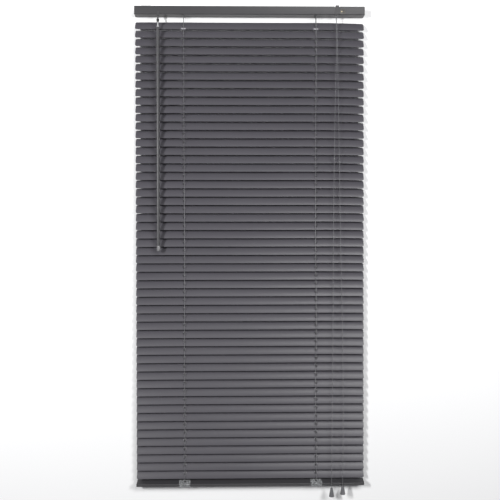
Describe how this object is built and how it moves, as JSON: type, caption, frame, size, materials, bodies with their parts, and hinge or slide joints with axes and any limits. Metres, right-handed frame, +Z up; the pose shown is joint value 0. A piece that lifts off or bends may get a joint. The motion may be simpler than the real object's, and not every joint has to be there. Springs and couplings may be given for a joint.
{
  "type": "venetian blind",
  "caption": "Slim horizontal-slat window blind with a headrail, a tilt wand, ladder strings, lift cords and a bottom rail, shown closed.",
  "frame": {"origin": "middle of the blind's width and depth, in the plane where the two lintel clips meet the lintel", "axes": "+X along the blind to the right, -Y towards the room, +Z up"},
  "size_m": [0.6, 0.0356, 1.285],
  "materials": {
    "slat_plastic": "satin extruded plastic, charcoal grey",
    "rail_paint": "satin charcoal paint on roll-formed steel",
    "wand_plastic": "polished grey plastic",
    "rod_steel": "zinc-plated",
    "cord_braid": "braided polyester",
    "clear_plastic": "clear moulded plastic",
    "dark_plastic": "moulded plastic",
    "lock_brass": "turned"
  },
  "bodies": {
    "frame": {"headrail": "rail_paint", "cords": "cord_braid"},
    "rod": {"tilt_rod": "rod_steel"},
    "wand": {"tilt_wand": "wand_plastic"},
    "rail": {"bottom_rail": "rail_paint"},
    "slat_01_body": {"slat_01": "slat_plastic"},
    "slat_02_body": {"slat_02": "slat_plastic"},
    "slat_03_body": {"slat_03": "slat_plastic"},
    "slat_04_body": {"slat_04": "slat_plastic"},
    "slat_05_body": {"slat_05": "slat_plastic"},
    "slat_06_body": {"slat_06": "slat_plastic"},
    "slat_07_body": {"slat_07": "slat_plastic"},
    "slat_08_body": {"slat_08": "slat_plastic"},
    "slat_09_body": {"slat_09": "slat_plastic"},
    "slat_10_body": {"slat_10": "slat_plastic"},
    "slat_11_body": {"slat_11": "slat_plastic"},
    "slat_12_body": {"slat_12": "slat_plastic"},
    "slat_13_body": {"slat_13": "slat_plastic"},
    "slat_14_body": {"slat_14": "slat_plastic"},
    "slat_15_body": {"slat_15": "slat_plastic"},
    "slat_16_body": {"slat_16": "slat_plastic"},
    "slat_17_body": {"slat_17": "slat_plastic"},
    "slat_18_body": {"slat_18": "slat_plastic"},
    "slat_19_body": {"slat_19": "slat_plastic"},
    "slat_20_body": {"slat_20": "slat_plastic"},
    "slat_21_body": {"slat_21": "slat_plastic"},
    "slat_22_body": {"slat_22": "slat_plastic"},
    "slat_23_body": {"slat_23": "slat_plastic"},
    "slat_24_body": {"slat_24": "slat_plastic"},
    "slat_25_body": {"slat_25": "slat_plastic"},
    "slat_26_body": {"slat_26": "slat_plastic"},
    "slat_27_body": {"slat_27": "slat_plastic"},
    "slat_28_body": {"slat_28": "slat_plastic"},
    "slat_29_body": {"slat_29": "slat_plastic"},
    "slat_30_body": {"slat_30": "slat_plastic"},
    "slat_31_body": {"slat_31": "slat_plastic"},
    "slat_32_body": {"slat_32": "slat_plastic"},
    "slat_33_body": {"slat_33": "slat_plastic"},
    "slat_34_body": {"slat_34": "slat_plastic"},
    "slat_35_body": {"slat_35": "slat_plastic"},
    "slat_36_body": {"slat_36": "slat_plastic"},
    "slat_37_body": {"slat_37": "slat_plastic"},
    "slat_38_body": {"slat_38": "slat_plastic"},
    "slat_39_body": {"slat_39": "slat_plastic"},
    "slat_40_body": {"slat_40": "slat_plastic"},
    "slat_41_body": {"slat_41": "slat_plastic"},
    "slat_42_body": {"slat_42": "slat_plastic"},
    "slat_43_body": {"slat_43": "slat_plastic"},
    "slat_44_body": {"slat_44": "slat_plastic"},
    "slat_45_body": {"slat_45": "slat_plastic"},
    "slat_46_body": {"slat_46": "slat_plastic"},
    "slat_47_body": {"slat_47": "slat_plastic"},
    "slat_48_body": {"slat_48": "slat_plastic"},
    "slat_49_body": {"slat_49": "slat_plastic"},
    "slat_50_body": {"slat_50": "slat_plastic"},
    "slat_51_body": {"slat_51": "slat_plastic"},
    "slat_52_body": {"slat_52": "slat_plastic"},
    "slat_53_body": {"slat_53": "slat_plastic"},
    "slat_54_body": {"slat_54": "slat_plastic"},
    "slat_55_body": {"slat_55": "slat_plastic"}
  },
  "joints": [
    {"name": "wand_turn", "type": "hinge", "parent": "frame", "child": "wand", "pos_m": [-0.238, -0.018, -0.0425], "axis": [0, 0, 1], "range_deg": [0, 1190.87], "deforming": ["cords"]},
    {"name": "rod_turn", "type": "hinge", "parent": "frame", "child": "rod", "pos_m": [0, 0, -0.013], "axis": [1, 0, 0], "range_deg": [-198.98, 0]},
    {"name": "rail_tilt", "type": "hinge", "parent": "frame", "child": "rail", "pos_m": [0, 0, -1.2515], "axis": [1, 0, 0], "range_deg": [-29.2, 0]},
    {"name": "slat_01_tilt", "type": "hinge", "parent": "frame", "child": "slat_01_body", "pos_m": [0, 0, -0.0505], "axis": [1, 0, 0], "range_deg": [-120.5, 0]},
    {"name": "slat_02_tilt", "type": "hinge", "parent": "frame", "child": "slat_02_body", "pos_m": [0, 0, -0.0723], "axis": [1, 0, 0], "range_deg": [-120.5, 0]},
    {"name": "slat_03_tilt", "type": "hinge", "parent": "frame", "child": "slat_03_body", "pos_m": [0, 0, -0.0941], "axis": [1, 0, 0], "range_deg": [-120.5, 0]},
    {"name": "slat_04_tilt", "type": "hinge", "parent": "frame", "child": "slat_04_body", "pos_m": [0, 0, -0.1159], "axis": [1, 0, 0], "range_deg": [-120.5, 0]},
    {"name": "slat_05_tilt", "type": "hinge", "parent": "frame", "child": "slat_05_body", "pos_m": [0, 0, -0.1377], "axis": [1, 0, 0], "range_deg": [-120.5, 0]},
    {"name": "slat_06_tilt", "type": "hinge", "parent": "frame", "child": "slat_06_body", "pos_m": [0, 0, -0.1595], "axis": [1, 0, 0], "range_deg": [-120.5, 0]},
    {"name": "slat_07_tilt", "type": "hinge", "parent": "frame", "child": "slat_07_body", "pos_m": [0, 0, -0.1813], "axis": [1, 0, 0], "range_deg": [-120.5, 0]},
    {"name": "slat_08_tilt", "type": "hinge", "parent": "frame", "child": "slat_08_body", "pos_m": [0, 0, -0.2031], "axis": [1, 0, 0], "range_deg": [-120.5, 0]},
    {"name": "slat_09_tilt", "type": "hinge", "parent": "frame", "child": "slat_09_body", "pos_m": [0, 0, -0.2249], "axis": [1, 0, 0], "range_deg": [-120.5, 0]},
    {"name": "slat_10_tilt", "type": "hinge", "parent": "frame", "child": "slat_10_body", "pos_m": [0, 0, -0.2467], "axis": [1, 0, 0], "range_deg": [-120.5, 0]},
    {"name": "slat_11_tilt", "type": "hinge", "parent": "frame", "child": "slat_11_body", "pos_m": [0, 0, -0.2685], "axis": [1, 0, 0], "range_deg": [-120.5, 0]},
    {"name": "slat_12_tilt", "type": "hinge", "parent": "frame", "child": "slat_12_body", "pos_m": [0, 0, -0.2903], "axis": [1, 0, 0], "range_deg": [-120.5, 0]},
    {"name": "slat_13_tilt", "type": "hinge", "parent": "frame", "child": "slat_13_body", "pos_m": [0, 0, -0.3121], "axis": [1, 0, 0], "range_deg": [-120.5, 0]},
    {"name": "slat_14_tilt", "type": "hinge", "parent": "frame", "child": "slat_14_body", "pos_m": [0, 0, -0.3339], "axis": [1, 0, 0], "range_deg": [-120.5, 0]},
    {"name": "slat_15_tilt", "type": "hinge", "parent": "frame", "child": "slat_15_body", "pos_m": [0, 0, -0.3557], "axis": [1, 0, 0], "range_deg": [-120.5, 0]},
    {"name": "slat_16_tilt", "type": "hinge", "parent": "frame", "child": "slat_16_body", "pos_m": [0, 0, -0.3775], "axis": [1, 0, 0], "range_deg": [-120.5, 0]},
    {"name": "slat_17_tilt", "type": "hinge", "parent": "frame", "child": "slat_17_body", "pos_m": [0, 0, -0.3993], "axis": [1, 0, 0], "range_deg": [-120.5, 0]},
    {"name": "slat_18_tilt", "type": "hinge", "parent": "frame", "child": "slat_18_body", "pos_m": [0, 0, -0.4211], "axis": [1, 0, 0], "range_deg": [-120.5, 0]},
    {"name": "slat_19_tilt", "type": "hinge", "parent": "frame", "child": "slat_19_body", "pos_m": [0, 0, -0.4429], "axis": [1, 0, 0], "range_deg": [-120.5, 0]},
    {"name": "slat_20_tilt", "type": "hinge", "parent": "frame", "child": "slat_20_body", "pos_m": [0, 0, -0.4647], "axis": [1, 0, 0], "range_deg": [-120.5, 0]},
    {"name": "slat_21_tilt", "type": "hinge", "parent": "frame", "child": "slat_21_body", "pos_m": [0, 0, -0.4865], "axis": [1, 0, 0], "range_deg": [-120.5, 0]},
    {"name": "slat_22_tilt", "type": "hinge", "parent": "frame", "child": "slat_22_body", "pos_m": [0, 0, -0.5083], "axis": [1, 0, 0], "range_deg": [-120.5, 0]},
    {"name": "slat_23_tilt", "type": "hinge", "parent": "frame", "child": "slat_23_body", "pos_m": [0, 0, -0.5301], "axis": [1, 0, 0], "range_deg": [-120.5, 0]},
    {"name": "slat_24_tilt", "type": "hinge", "parent": "frame", "child": "slat_24_body", "pos_m": [0, 0, -0.5519], "axis": [1, 0, 0], "range_deg": [-120.5, 0]},
    {"name": "slat_25_tilt", "type": "hinge", "parent": "frame", "child": "slat_25_body", "pos_m": [0, 0, -0.5737], "axis": [1, 0, 0], "range_deg": [-120.5, 0]},
    {"name": "slat_26_tilt", "type": "hinge", "parent": "frame", "child": "slat_26_body", "pos_m": [0, 0, -0.5955], "axis": [1, 0, 0], "range_deg": [-120.5, 0]},
    {"name": "slat_27_tilt", "type": "hinge", "parent": "frame", "child": "slat_27_body", "pos_m": [0, 0, -0.6173], "axis": [1, 0, 0], "range_deg": [-120.5, 0]},
    {"name": "slat_28_tilt", "type": "hinge", "parent": "frame", "child": "slat_28_body", "pos_m": [0, 0, -0.6391], "axis": [1, 0, 0], "range_deg": [-120.5, 0]},
    {"name": "slat_29_tilt", "type": "hinge", "parent": "frame", "child": "slat_29_body", "pos_m": [0, 0, -0.6609], "axis": [1, 0, 0], "range_deg": [-120.5, 0]},
    {"name": "slat_30_tilt", "type": "hinge", "parent": "frame", "child": "slat_30_body", "pos_m": [0, 0, -0.6827], "axis": [1, 0, 0], "range_deg": [-120.5, 0]},
    {"name": "slat_31_tilt", "type": "hinge", "parent": "frame", "child": "slat_31_body", "pos_m": [0, 0, -0.7045], "axis": [1, 0, 0], "range_deg": [-120.5, 0]},
    {"name": "slat_32_tilt", "type": "hinge", "parent": "frame", "child": "slat_32_body", "pos_m": [0, 0, -0.7263], "axis": [1, 0, 0], "range_deg": [-120.5, 0]},
    {"name": "slat_33_tilt", "type": "hinge", "parent": "frame", "child": "slat_33_body", "pos_m": [0, 0, -0.7481], "axis": [1, 0, 0], "range_deg": [-120.5, 0]},
    {"name": "slat_34_tilt", "type": "hinge", "parent": "frame", "child": "slat_34_body", "pos_m": [0, 0, -0.7699], "axis": [1, 0, 0], "range_deg": [-120.5, 0]},
    {"name": "slat_35_tilt", "type": "hinge", "parent": "frame", "child": "slat_35_body", "pos_m": [0, 0, -0.7917], "axis": [1, 0, 0], "range_deg": [-120.5, 0]},
    {"name": "slat_36_tilt", "type": "hinge", "parent": "frame", "child": "slat_36_body", "pos_m": [0, 0, -0.8135], "axis": [1, 0, 0], "range_deg": [-120.5, 0]},
    {"name": "slat_37_tilt", "type": "hinge", "parent": "frame", "child": "slat_37_body", "pos_m": [0, 0, -0.8353], "axis": [1, 0, 0], "range_deg": [-120.5, 0]},
    {"name": "slat_38_tilt", "type": "hinge", "parent": "frame", "child": "slat_38_body", "pos_m": [0, 0, -0.8571], "axis": [1, 0, 0], "range_deg": [-120.5, 0]},
    {"name": "slat_39_tilt", "type": "hinge", "parent": "frame", "child": "slat_39_body", "pos_m": [0, 0, -0.8789], "axis": [1, 0, 0], "range_deg": [-120.5, 0]},
    {"name": "slat_40_tilt", "type": "hinge", "parent": "frame", "child": "slat_40_body", "pos_m": [0, 0, -0.9007], "axis": [1, 0, 0], "range_deg": [-120.5, 0]},
    {"name": "slat_41_tilt", "type": "hinge", "parent": "frame", "child": "slat_41_body", "pos_m": [0, 0, -0.9225], "axis": [1, 0, 0], "range_deg": [-120.5, 0]},
    {"name": "slat_42_tilt", "type": "hinge", "parent": "frame", "child": "slat_42_body", "pos_m": [0, 0, -0.9443], "axis": [1, 0, 0], "range_deg": [-120.5, 0]},
    {"name": "slat_43_tilt", "type": "hinge", "parent": "frame", "child": "slat_43_body", "pos_m": [0, 0, -0.9661], "axis": [1, 0, 0], "range_deg": [-120.5, 0]},
    {"name": "slat_44_tilt", "type": "hinge", "parent": "frame", "child": "slat_44_body", "pos_m": [0, 0, -0.9879], "axis": [1, 0, 0], "range_deg": [-120.5, 0]},
    {"name": "slat_45_tilt", "type": "hinge", "parent": "frame", "child": "slat_45_body", "pos_m": [0, 0, -1.0097], "axis": [1, 0, 0], "range_deg": [-120.5, 0]},
    {"name": "slat_46_tilt", "type": "hinge", "parent": "frame", "child": "slat_46_body", "pos_m": [0, 0, -1.0315], "axis": [1, 0, 0], "range_deg": [-120.5, 0]},
    {"name": "slat_47_tilt", "type": "hinge", "parent": "frame", "child": "slat_47_body", "pos_m": [0, 0, -1.0533], "axis": [1, 0, 0], "range_deg": [-120.5, 0]},
    {"name": "slat_48_tilt", "type": "hinge", "parent": "frame", "child": "slat_48_body", "pos_m": [0, 0, -1.0751], "axis": [1, 0, 0], "range_deg": [-120.5, 0]},
    {"name": "slat_49_tilt", "type": "hinge", "parent": "frame", "child": "slat_49_body", "pos_m": [0, 0, -1.0969], "axis": [1, 0, 0], "range_deg": [-120.5, 0]},
    {"name": "slat_50_tilt", "type": "hinge", "parent": "frame", "child": "slat_50_body", "pos_m": [0, 0, -1.1187], "axis": [1, 0, 0], "range_deg": [-120.5, 0]},
    {"name": "slat_51_tilt", "type": "hinge", "parent": "frame", "child": "slat_51_body", "pos_m": [0, 0, -1.1405], "axis": [1, 0, 0], "range_deg": [-120.5, 0]},
    {"name": "slat_52_tilt", "type": "hinge", "parent": "frame", "child": "slat_52_body", "pos_m": [0, 0, -1.1623], "axis": [1, 0, 0], "range_deg": [-120.5, 0]},
    {"name": "slat_53_tilt", "type": "hinge", "parent": "frame", "child": "slat_53_body", "pos_m": [0, 0, -1.1841], "axis": [1, 0, 0], "range_deg": [-120.5, 0]},
    {"name": "slat_54_tilt", "type": "hinge", "parent": "frame", "child": "slat_54_body", "pos_m": [0, 0, -1.2059], "axis": [1, 0, 0], "range_deg": [-120.5, 0]},
    {"name": "slat_55_tilt", "type": "hinge", "parent": "frame", "child": "slat_55_body", "pos_m": [0, 0, -1.2277], "axis": [1, 0, 0], "range_deg": [-120.5, 0]}
  ],
  "couplings": [
    {"joint": "rod_turn", "follows": "wand_turn", "ratio": -0.16667},
    {"joint": "rail_tilt", "follows": "wand_turn", "ratio": -0.024352},
    {"joint": "slat_01_tilt", "follows": "wand_turn", "ratio": -0.10077},
    {"joint": "slat_02_tilt", "follows": "wand_turn", "ratio": -0.10077},
    {"joint": "slat_03_tilt", "follows": "wand_turn", "ratio": -0.10077},
    {"joint": "slat_04_tilt", "follows": "wand_turn", "ratio": -0.10077},
    {"joint": "slat_05_tilt", "follows": "wand_turn", "ratio": -0.10077},
    {"joint": "slat_06_tilt", "follows": "wand_turn", "ratio": -0.10077},
    {"joint": "slat_07_tilt", "follows": "wand_turn", "ratio": -0.10077},
    {"joint": "slat_08_tilt", "follows": "wand_turn", "ratio": -0.10077},
    {"joint": "slat_09_tilt", "follows": "wand_turn", "ratio": -0.10077},
    {"joint": "slat_10_tilt", "follows": "wand_turn", "ratio": -0.10077},
    {"joint": "slat_11_tilt", "follows": "wand_turn", "ratio": -0.10077},
    {"joint": "slat_12_tilt", "follows": "wand_turn", "ratio": -0.10077},
    {"joint": "slat_13_tilt", "follows": "wand_turn", "ratio": -0.10077},
    {"joint": "slat_14_tilt", "follows": "wand_turn", "ratio": -0.10077},
    {"joint": "slat_15_tilt", "follows": "wand_turn", "ratio": -0.10077},
    {"joint": "slat_16_tilt", "follows": "wand_turn", "ratio": -0.10077},
    {"joint": "slat_17_tilt", "follows": "wand_turn", "ratio": -0.10077},
    {"joint": "slat_18_tilt", "follows": "wand_turn", "ratio": -0.10077},
    {"joint": "slat_19_tilt", "follows": "wand_turn", "ratio": -0.10077},
    {"joint": "slat_20_tilt", "follows": "wand_turn", "ratio": -0.10077},
    {"joint": "slat_21_tilt", "follows": "wand_turn", "ratio": -0.10077},
    {"joint": "slat_22_tilt", "follows": "wand_turn", "ratio": -0.10077},
    {"joint": "slat_23_tilt", "follows": "wand_turn", "ratio": -0.10077},
    {"joint": "slat_24_tilt", "follows": "wand_turn", "ratio": -0.10077},
    {"joint": "slat_25_tilt", "follows": "wand_turn", "ratio": -0.10077},
    {"joint": "slat_26_tilt", "follows": "wand_turn", "ratio": -0.10077},
    {"joint": "slat_27_tilt", "follows": "wand_turn", "ratio": -0.10077},
    {"joint": "slat_28_tilt", "follows": "wand_turn", "ratio": -0.10077},
    {"joint": "slat_29_tilt", "follows": "wand_turn", "ratio": -0.10077},
    {"joint": "slat_30_tilt", "follows": "wand_turn", "ratio": -0.10077},
    {"joint": "slat_31_tilt", "follows": "wand_turn", "ratio": -0.10077},
    {"joint": "slat_32_tilt", "follows": "wand_turn", "ratio": -0.10077},
    {"joint": "slat_33_tilt", "follows": "wand_turn", "ratio": -0.10077},
    {"joint": "slat_34_tilt", "follows": "wand_turn", "ratio": -0.10077},
    {"joint": "slat_35_tilt", "follows": "wand_turn", "ratio": -0.10077},
    {"joint": "slat_36_tilt", "follows": "wand_turn", "ratio": -0.10077},
    {"joint": "slat_37_tilt", "follows": "wand_turn", "ratio": -0.10077},
    {"joint": "slat_38_tilt", "follows": "wand_turn", "ratio": -0.10077},
    {"joint": "slat_39_tilt", "follows": "wand_turn", "ratio": -0.10077},
    {"joint": "slat_40_tilt", "follows": "wand_turn", "ratio": -0.10077},
    {"joint": "slat_41_tilt", "follows": "wand_turn", "ratio": -0.10077},
    {"joint": "slat_42_tilt", "follows": "wand_turn", "ratio": -0.10077},
    {"joint": "slat_43_tilt", "follows": "wand_turn", "ratio": -0.10077},
    {"joint": "slat_44_tilt", "follows": "wand_turn", "ratio": -0.10077},
    {"joint": "slat_45_tilt", "follows": "wand_turn", "ratio": -0.10077},
    {"joint": "slat_46_tilt", "follows": "wand_turn", "ratio": -0.10077},
    {"joint": "slat_47_tilt", "follows": "wand_turn", "ratio": -0.10077},
    {"joint": "slat_48_tilt", "follows": "wand_turn", "ratio": -0.10077},
    {"joint": "slat_49_tilt", "follows": "wand_turn", "ratio": -0.10077},
    {"joint": "slat_50_tilt", "follows": "wand_turn", "ratio": -0.10077},
    {"joint": "slat_51_tilt", "follows": "wand_turn", "ratio": -0.10077},
    {"joint": "slat_52_tilt", "follows": "wand_turn", "ratio": -0.10077},
    {"joint": "slat_53_tilt", "follows": "wand_turn", "ratio": -0.10077},
    {"joint": "slat_54_tilt", "follows": "wand_turn", "ratio": -0.10077},
    {"joint": "slat_55_tilt", "follows": "wand_turn", "ratio": -0.10077}
  ]
}
